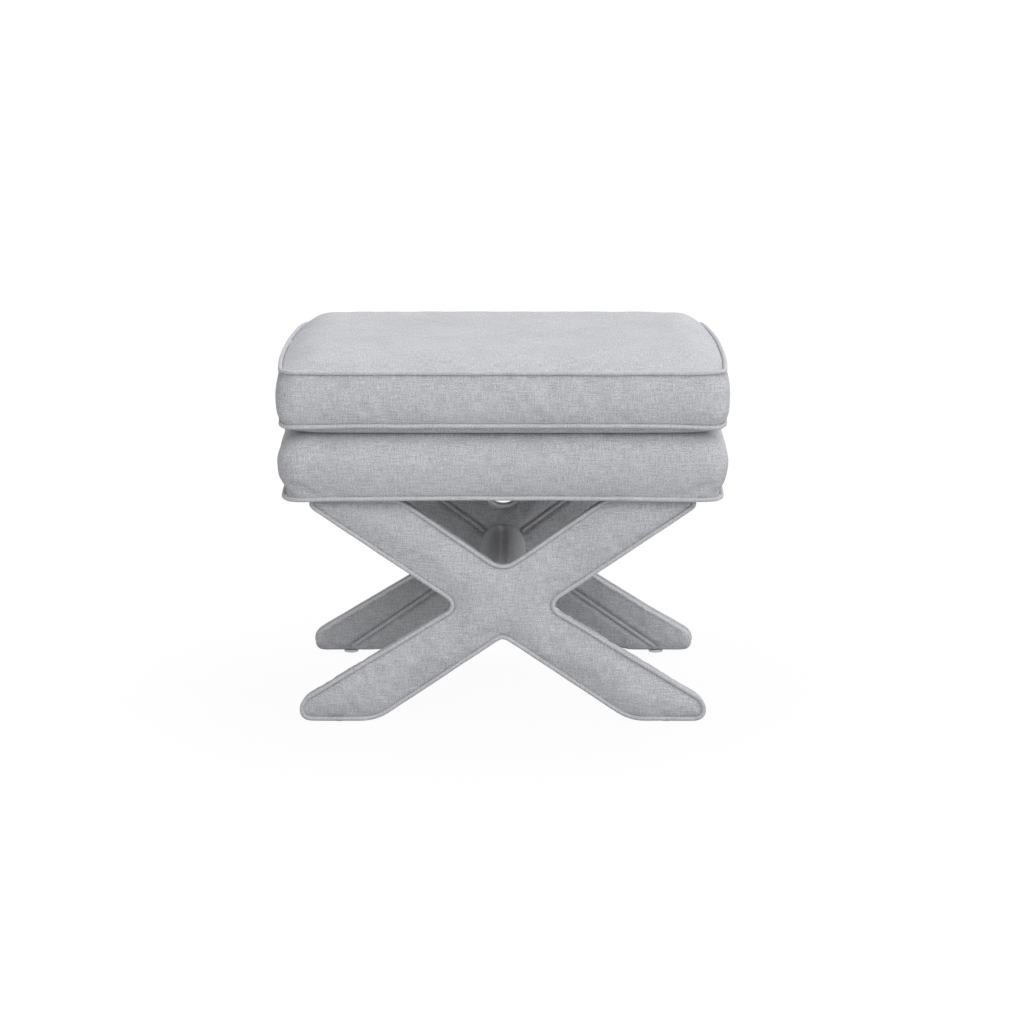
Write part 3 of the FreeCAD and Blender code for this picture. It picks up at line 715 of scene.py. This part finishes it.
def make_zip(materials):
    low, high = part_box("zip_coil")
    pitch = 0.0015
    tooth = 0.0009
    tilt = 0.12
    count = int((high.x - low.x) / pitch)
    bm = bmesh.new()
    for i in range(count):
        x = low.x + (i + 0.5) * pitch
        made = bmesh.ops.create_cube(bm, size=1)
        bmesh.ops.scale(bm, verts=made["verts"], vec=(tooth, high.y - low.y, high.z - low.z - 0.0003))
        bmesh.ops.rotate(bm, verts=made["verts"], cent=(0, 0, 0), matrix=Matrix.Rotation(tilt, 3, "Y"))
        bmesh.ops.translate(bm, verts=made["verts"], vec=(x, (low.y + high.y) / 2, (low.z + high.z) / 2))
        edges = list({e for v in made["verts"] for e in v.link_edges})
        bmesh.ops.bevel(bm, geom=edges, offset=0.0003, affect="EDGES", segments=1, profile=0.5, material=-1)
    coil = new_piece("zip_teeth", mesh_from(bm, "zip_teeth"))
    finish_piece(coil, "cushion", "zip_coil", materials["zip_coil"], "zip_coil")


# Materials

class Nodes:
    """Short hand for placing and joining shader nodes in one tree."""

    def __init__(self, tree):
        self.tree = tree

    def add(self, kind, **inputs):
        made = self.tree.nodes.new("ShaderNode" + kind)
        for name, value in inputs.items():
            self.set(made.inputs[name.replace("_", " ")], value)
        return made

    def set(self, socket, value):
        if isinstance(value, bpy.types.NodeSocket):
            self.tree.links.new(value, socket)
        else:
            socket.default_value = value

    def math(self, operation, *values):
        made = self.tree.nodes.new("ShaderNodeMath")
        made.operation = operation
        for socket, value in zip(made.inputs, values):
            self.set(socket, value)
        return made.outputs[0]

    def mix(self, share, a, b):
        """Straight mix of two numbers."""
        made = self.tree.nodes.new("ShaderNodeMix")
        for socket, value in zip(made.inputs[:1] + made.inputs[2:4], (share, a, b)):
            self.set(socket, value)
        return made.outputs[0]

    def blend(self, share, a, b):
        """Straight mix of two colours."""
        made = self.tree.nodes.new("ShaderNodeMix")
        made.data_type = "RGBA"
        for socket, value in zip((made.inputs[0], made.inputs[6], made.inputs[7]), (share, a, b)):
            self.set(socket, value)
        return made.outputs[2]

    def noise(self, vector, scale, detail=2.0):
        return self.add("TexNoise", Vector=vector, Scale=scale, Detail=detail).outputs["Fac"]

    def vector(self, x, y, z=0.0):
        return self.add("CombineXYZ", X=x, Y=y, Z=z).outputs[0]


def group_with(name, inputs, outputs):
    tree = bpy.data.node_groups.new(name, "ShaderNodeTree")
    for label, value in inputs:
        tree.interface.new_socket(label, in_out="INPUT", socket_type="NodeSocketFloat").default_value = value
    for label in outputs:
        tree.interface.new_socket(label, in_out="OUTPUT", socket_type="NodeSocketFloat")
    return tree, Nodes(tree), tree.nodes.new("NodeGroupInput"), tree.nodes.new("NodeGroupOutput")


def plain_weave():
    """Over and under weave with uneven yarn, laid flat on the side that a surface faces."""
    tree, n, given, put = group_with("plain weave", [("Thread", 0.0009), ("Slub", 1.0)], ["Relief", "Tone"])
    place = n.add("TexCoord")
    at = n.add("SeparateXYZ", Vector=place.outputs["Object"])
    facing = n.add("SeparateXYZ", Vector=place.outputs["Normal"])
    nx, ny, nz = [n.math("ABSOLUTE", facing.outputs[i]) for i in range(3)]
    top = n.math("GREATER_THAN", nz, n.math("MAXIMUM", nx, ny))
    end = n.math("GREATER_THAN", nx, n.math("MAXIMUM", ny, nz))
    across = n.mix(end, at.outputs["X"], at.outputs["Y"])
    along = n.mix(top, at.outputs["Z"], at.outputs["Y"])
    wander = n.noise(place.outputs["Object"], 28.0)
    across = n.math("ADD", across, n.math("MULTIPLY", wander, 0.004))
    along = n.math("ADD", along, n.math("MULTIPLY", n.noise(place.outputs["Object"], 33.0), 0.004))
    u = n.math("DIVIDE", across, given.outputs["Thread"])
    v = n.math("DIVIDE", along, given.outputs["Thread"])
    warp_number = n.math("FLOOR", u)
    weft_number = n.math("FLOOR", v)

    def round_thread(value):
        middle = n.math("SUBTRACT", n.math("MULTIPLY", n.math("FRACT", value), 2.0), 1.0)
        return n.math("SUBTRACT", 1.0, n.math("MULTIPLY", middle, middle))

    def over_under(value, number, shift):
        angle = n.math("MULTIPLY", n.math("ADD", n.math("ADD", value, number), shift), math.pi)
        return n.math("ADD", n.math("MULTIPLY", n.math("COSINE", angle), 0.5), 0.5)

    warp = n.math("MULTIPLY", round_thread(u), over_under(v, warp_number, 0.5))
    weft = n.math("MULTIPLY", round_thread(v), over_under(u, weft_number, 1.5))
    relief = n.math("MAXIMUM", warp, weft)
    warp_yarn = n.noise(n.vector(u, n.math("MULTIPLY", v, 0.10)), 0.70, 3.0)
    weft_yarn = n.noise(n.vector(n.math("MULTIPLY", u, 0.065), v), 0.70, 3.0)
    speck = n.noise(n.vector(n.math("MULTIPLY", u, 0.72), n.math("MULTIPLY", v, 0.62)), 1.0, 2.0)
    cloud = n.noise(place.outputs["Object"], 16.0, 3.0)
    # Streaks along both yarns, specks and soft clouds, about one half on average
    tone = -0.68
    for part, weight in ((warp_yarn, 0.55), (weft_yarn, 0.55), (speck, 1.1), (cloud, 0.16)):
        tone = n.math("ADD", tone, n.math("MULTIPLY", part, weight))
    tone = n.math("ADD", n.math("MULTIPLY", n.math("SUBTRACT", tone, 0.5), given.outputs["Slub"]), 0.5)
    # Painted shade and highlight: the low points between the threads are painted darker and the thread crowns
    # lighter
    tone = n.math("ADD", tone, n.math("MULTIPLY", n.math("SUBTRACT", relief, 0.5), 0.25))
    n.set(put.inputs["Relief"], relief)
    n.set(put.inputs["Tone"], tone)
    return tree


def wood_grain():
    """Growth rings seen along the length of a board."""
    tree, n, given, put = group_with("wood grain", [("Ring", 0.006)], ["Tone"])
    place = n.add("TexCoord")
    at = n.add("SeparateXYZ", Vector=place.outputs["Object"])
    bend = n.noise(place.outputs["Object"], 6.0)
    bent = n.math("ADD", at.outputs["Z"], n.math("MULTIPLY", bend, 0.05))
    ring = n.math("FRACT", n.math("DIVIDE", bent, given.outputs["Ring"]))
    drawn_out = [n.math("MULTIPLY", at.outputs[axis], scale)
                 for axis, scale in (("X", 20.0), ("Y", 500.0), ("Z", 500.0))]
    fibre = n.noise(n.vector(*drawn_out), 1.0)
    n.set(put.inputs["Tone"], n.math("ADD", n.math("MULTIPLY", ring, 0.5), n.math("MULTIPLY", fibre, 0.5)))
    return tree


def new_material(name):
    material = bpy.data.materials.new(name)
    material.use_nodes = True
    n = Nodes(material.node_tree)
    shader = material.node_tree.nodes["Principled BSDF"]
    return material, n, shader


def use_group(n, tree, **inputs):
    made = n.tree.nodes.new("ShaderNodeGroup")
    made.node_tree = tree
    for name, value in inputs.items():
        made.inputs[name].default_value = value
    return made


def cloth_material(name, weave, settings, thread, slub, bump, painted_highlight=1.0):
    """Heathered linen cloth. A last argument above 1 paints both thread colours lighter, a painted highlight
    on a copy of the same cloth.
    """
    material, n, shader = new_material(name)
    woven = use_group(n, weave, Thread=thread, Slub=slub)
    # Both thread colours are scaled by the last argument; above 1 this is a painted highlight
    dark = (*[c * painted_highlight for c in settings.dark], 1)
    light = (*[c * painted_highlight for c in settings.light], 1)
    n.set(shader.inputs["Base Color"], n.blend(woven.outputs["Tone"], dark, light))
    relief = n.math("ADD", n.math("MULTIPLY", woven.outputs["Relief"], 0.7),
                    n.math("MULTIPLY", woven.outputs["Tone"], 0.6))
    lift = n.add("Bump", Height=relief, Strength=0.8, Distance=bump)
    n.set(shader.inputs["Normal"], lift.outputs[0])
    shader.inputs["Roughness"].default_value = 0.92
    shader.inputs["Specular IOR Level"].default_value = 0.2
    shader.inputs["Sheen Weight"].default_value = 0.12
    shader.inputs["Sheen Roughness"].default_value = 0.5
    return material


def grained_material(name, grain, ring, pale, deep):
    """Planed timber."""
    material, n, shader = new_material(name)
    tone = use_group(n, grain, Ring=ring).outputs["Tone"]
    n.set(shader.inputs["Base Color"], n.blend(tone, (*pale, 1), (*deep, 1)))
    n.set(shader.inputs["Normal"], n.add("Bump", Height=tone, Strength=0.4, Distance=0.0002).outputs[0])
    shader.inputs["Roughness"].default_value = 0.6
    return material


def plain_material(name, pale, deep, grain, roughness, metallic=0.0, relief=0.0001, squash=(1, 1, 1)):
    """Plain finish with fine unevenness in colour, gloss and surface."""
    material, n, shader = new_material(name)
    place = n.add("TexCoord").outputs["Object"]
    scaled = n.add("VectorMath", Vector=place)
    scaled.operation = "MULTIPLY"
    scaled.inputs[1].default_value = squash
    tone = n.noise(scaled.outputs[0], grain, 4.0)
    n.set(shader.inputs["Base Color"], n.blend(tone, (*deep, 1), (*pale, 1)))
    n.set(shader.inputs["Roughness"], n.math("ADD", roughness - 0.08, n.math("MULTIPLY", tone, 0.16)))
    n.set(shader.inputs["Normal"], n.add("Bump", Height=tone, Strength=0.5, Distance=relief).outputs[0])
    shader.inputs["Metallic"].default_value = metallic
    return material


def make_materials(settings):
    weave = plain_weave()
    grain = wood_grain()
    thread, bump = settings.thread, settings.bump
    return {
        "linen": cloth_material("linen", weave, settings, thread, 3.5, bump),
        "stretcher": cloth_material("linen on the stretcher", weave, settings, thread, 1.6, bump),
        # Same cloth as the linen, painted 3% lighter: a painted highlight for the light that the round piping
        # catches
        "piping": cloth_material("bias piping", weave, settings, thread, 2.2, 0.8 * bump, 1.03),
        "wadding": plain_material("wadding", (0.86, 0.86, 0.84), (0.74, 0.74, 0.72), 220.0, 0.95,
                                  relief=0.0008),
        "foam": plain_material("foam", (0.83, 0.76, 0.54), (0.72, 0.64, 0.42), 900.0, 0.9, relief=0.0005),
        "timber": grained_material("planed timber", grain, 0.007, (0.60, 0.42, 0.24), (0.44, 0.28, 0.14)),
        "plywood": grained_material("plywood", grain, 0.0015, (0.62, 0.46, 0.28), (0.46, 0.31, 0.17)),
        "dust_cloth": plain_material("dust cloth", (0.020, 0.020, 0.021), (0.011, 0.011, 0.012), 1400.0,
                                     0.85),
        "steel": plain_material("zinc plated steel", (0.62, 0.62, 0.63), (0.47, 0.47, 0.48), 400.0, 0.38,
                                metallic=1.0, relief=0.00003),
        "glide": plain_material("moulded glide", (0.88, 0.88, 0.87), (0.80, 0.80, 0.79), 600.0, 0.35,
                                relief=0.00004),
        "zip_tape": plain_material("zip tape", (0.46, 0.46, 0.48), (0.37, 0.37, 0.39), 2200.0, 0.85,
                                   squash=(1, 1, 3)),
        "zip_coil": plain_material("zip teeth", (0.42, 0.42, 0.43), (0.34, 0.34, 0.35), 900.0, 0.45,
                                   relief=0.00003),
        "zip_metal": plain_material("nickel", (0.68, 0.68, 0.67), (0.52, 0.52, 0.51), 500.0, 0.28,
                                    metallic=1.0, relief=0.00003),
    }


def dress_hidden_parts(materials):
    """Finish every CAD node that is kept, by the slot that the record gives it."""
    slots = {part["node"]: part["material_slot"] for part in frame["record"]["subparts"]}
    for node, piece in frame["nodes"].items():
        if piece.hide_render:
            continue
        piece.data.materials.clear()
        piece.data.materials.append(materials[slots[node]])


# Studio

def make_floor(settings):
    bm = bmesh.new()
    bmesh.ops.create_grid(bm, x_segments=1, y_segments=1, size=40)
    floor = new_piece("floor", mesh_from(bm, "floor", smooth=False))
    material = bpy.data.materials.new("pale floor")
    material.use_nodes = True
    tree = material.node_tree
    n = Nodes(tree)
    shader = tree.nodes["Principled BSDF"]
    shader.inputs["Base Color"].default_value = (0.48, 0.48, 0.48, 1)
    shader.inputs["Roughness"].default_value = 0.9
    glow = n.add("Emission", Color=(1, 1, 1, 1), Strength=1.03)
    path = n.add("LightPath")
    away = n.add("VectorMath", Vector=n.add("TexCoord").outputs["Object"])
    away.operation = "LENGTH"
    far = n.add("MapRange", Value=away.outputs["Value"], From_Min=0.35, From_Max=1.1,
                To_Min=1 - settings.shadow, To_Max=1.0)
    seen = n.math("MULTIPLY", path.outputs["Is Camera Ray"], far.outputs["Result"])
    seen = n.math("MAXIMUM", seen, path.outputs["Is Glossy Ray"])
    mixed = n.add("MixShader", Fac=seen)
    tree.links.new(shader.outputs[0], mixed.inputs[1])
    tree.links.new(glow.outputs[0], mixed.inputs[2])
    tree.links.new(mixed.outputs[0], tree.nodes["Material Output"].inputs["Surface"])
    floor.data.materials.append(material)


def make_sky(settings):
    world = bpy.data.worlds.new("plain sky")
    world.use_nodes = True
    tree = world.node_tree
    n = Nodes(tree)
    path = n.add("LightPath")
    seen = n.math("MAXIMUM", path.outputs["Is Camera Ray"], path.outputs["Is Glossy Ray"])
    seen = n.math("MAXIMUM", seen, path.outputs["Is Transmission Ray"])
    shader = tree.nodes["Background"]
    shader.inputs["Color"].default_value = (1, 1, 1, 1)
    way = n.add("SeparateXYZ", Vector=n.add("TexCoord").outputs["Generated"])
    window = n.math("MULTIPLY", n.math("MAXIMUM", way.outputs["X"], 0.0), settings.window)
    n.set(shader.inputs["Strength"], n.mix(seen, n.math("ADD", window, settings.sky), 1.0))
    bpy.context.scene.world = world


def add_lamp(name, place, across, power):
    lamp = bpy.data.lights.new(name, "AREA")
    lamp.shape = "DISK"
    lamp.size = across
    lamp.energy = power
    made = new_piece(name, lamp)
    made.location = place
    aim = Vector((0, 0, 0.25)) - made.location
    made.rotation_euler = aim.to_track_quat("-Z", "Y").to_euler()


def make_studio(settings):
    make_floor(settings)
    make_sky(settings)
    add_lamp("key lamp", (1.6, -2.4, 2.9), 2.0, settings.key_power)
    add_lamp("fill lamp", (-0.2, -3.5, 1.9), 2.0, settings.fill_power)
    add_lamp("top lamp", (0.6, 1.5, 2.9), 2.2, settings.top_power)
    camera = bpy.data.cameras.new("camera")
    camera.sensor_width = 36
    camera.lens = settings.lens
    made = new_piece("camera", camera)
    made.location = settings.camera_place
    made.rotation_euler = (settings.camera_tilt, 0, 0)
    bpy.context.scene.camera = made
    bpy.context.scene.view_settings.view_transform = "Standard"


# Operators, one for each group of like pieces

MATERIALS = {}


def shared_materials(context):
    """The finishes, made once and kept for every operator."""
    if not MATERIALS:
        MATERIALS.update(make_materials(context.scene.stool_cloth))
    return MATERIALS


class STOOL_OT_studio(bpy.types.Operator):
    """Floor, sky, lamps and camera"""
    bl_idname = "stool.studio"
    bl_label = "Studio"

    def execute(self, context):
        make_studio(context.scene.stool_studio)
        return {"FINISHED"}


class STOOL_OT_cushion(bpy.types.Operator):
    """Loose cushion with its filling and two rounds of piping"""
    bl_idname = "stool.cushion"
    bl_label = "Cushion"

    def execute(self, context):
        make_cushion(context.scene.stool_cushion, shared_materials(context))
        return {"FINISHED"}


class STOOL_OT_seat_box(bpy.types.Operator):
    """Padded seat box with its piping"""
    bl_idname = "stool.seat_box"
    bl_label = "Seat box"

    def execute(self, context):
        make_seat(context.scene.stool_seat, context.scene.stool_cushion, shared_materials(context))
        return {"FINISHED"}


class STOOL_OT_x_frames(bpy.types.Operator):
    """The two padded X frames with their piping"""
    bl_idname = "stool.x_frames"
    bl_label = "X frames"

    def execute(self, context):
        for name, side in (("front", -1), ("back", 1)):
            make_frame(name, side, context.scene.stool_frame, shared_materials(context))
        return {"FINISHED"}


class STOOL_OT_stretcher(bpy.types.Operator):
    """Round padded stretcher"""
    bl_idname = "stool.stretcher"
    bl_label = "Stretcher"

    def execute(self, context):
        make_stretcher(shared_materials(context))
        return {"FINISHED"}


class STOOL_OT_dust_cover(bpy.types.Operator):
    """Thin dark cloth under the seat box"""
    bl_idname = "stool.dust_cover"
    bl_label = "Dust cover"

    def execute(self, context):
        make_dust_cover(context.scene.stool_seat, shared_materials(context))
        return {"FINISHED"}


class STOOL_OT_zip(bpy.types.Operator):
    """Teeth of the zip in the back of the cushion"""
    bl_idname = "stool.zip"
    bl_label = "Zip"

    def execute(self, context):
        make_zip(shared_materials(context))
        return {"FINISHED"}


class STOOL_OT_hidden_parts(bpy.types.Operator):
    """Finishes of the timber, foam, fasteners and glides"""
    bl_idname = "stool.hidden_parts"
    bl_label = "Hidden parts"

    def execute(self, context):
        dress_hidden_parts(shared_materials(context))
        return {"FINISHED"}


OPERATORS = (STOOL_OT_studio, STOOL_OT_cushion, STOOL_OT_seat_box, STOOL_OT_x_frames, STOOL_OT_stretcher,
             STOOL_OT_dust_cover, STOOL_OT_zip, STOOL_OT_hidden_parts)

SETTINGS = {"stool_studio": StudioSettings, "stool_cushion": CushionSettings, "stool_seat": SeatSettings,
            "stool_frame": FrameSettings, "stool_cloth": ClothSettings}


class STOOL_PT_panel(bpy.types.Panel):
    """Lists the stool's pieces"""
    bl_label = "X frame stool"
    bl_idname = "STOOL_PT_panel"
    bl_space_type = "VIEW_3D"
    bl_region_type = "UI"
    bl_category = "Stool"

    def draw(self, context):
        for operator in OPERATORS:
            self.layout.operator(operator.bl_idname)


def register():
    for group in SETTINGS.values():
        bpy.utils.register_class(group)
    for name, group in SETTINGS.items():
        setattr(bpy.types.Scene, name, PointerProperty(type=group))
    for operator in OPERATORS:
        bpy.utils.register_class(operator)
    bpy.utils.register_class(STOOL_PT_panel)


def unregister():
    bpy.utils.unregister_class(STOOL_PT_panel)
    for operator in reversed(OPERATORS):
        bpy.utils.unregister_class(operator)
    for name, group in SETTINGS.items():
        delattr(bpy.types.Scene, name)
        bpy.utils.unregister_class(group)


def main():
    register()
    bpy.ops.stool.studio()
    bpy.ops.stool.cushion()
    bpy.ops.stool.seat_box()
    bpy.ops.stool.x_frames()
    bpy.ops.stool.stretcher()
    bpy.ops.stool.dust_cover()
    bpy.ops.stool.zip()
    bpy.ops.stool.hidden_parts()


if __name__ == "__main__":
    main()
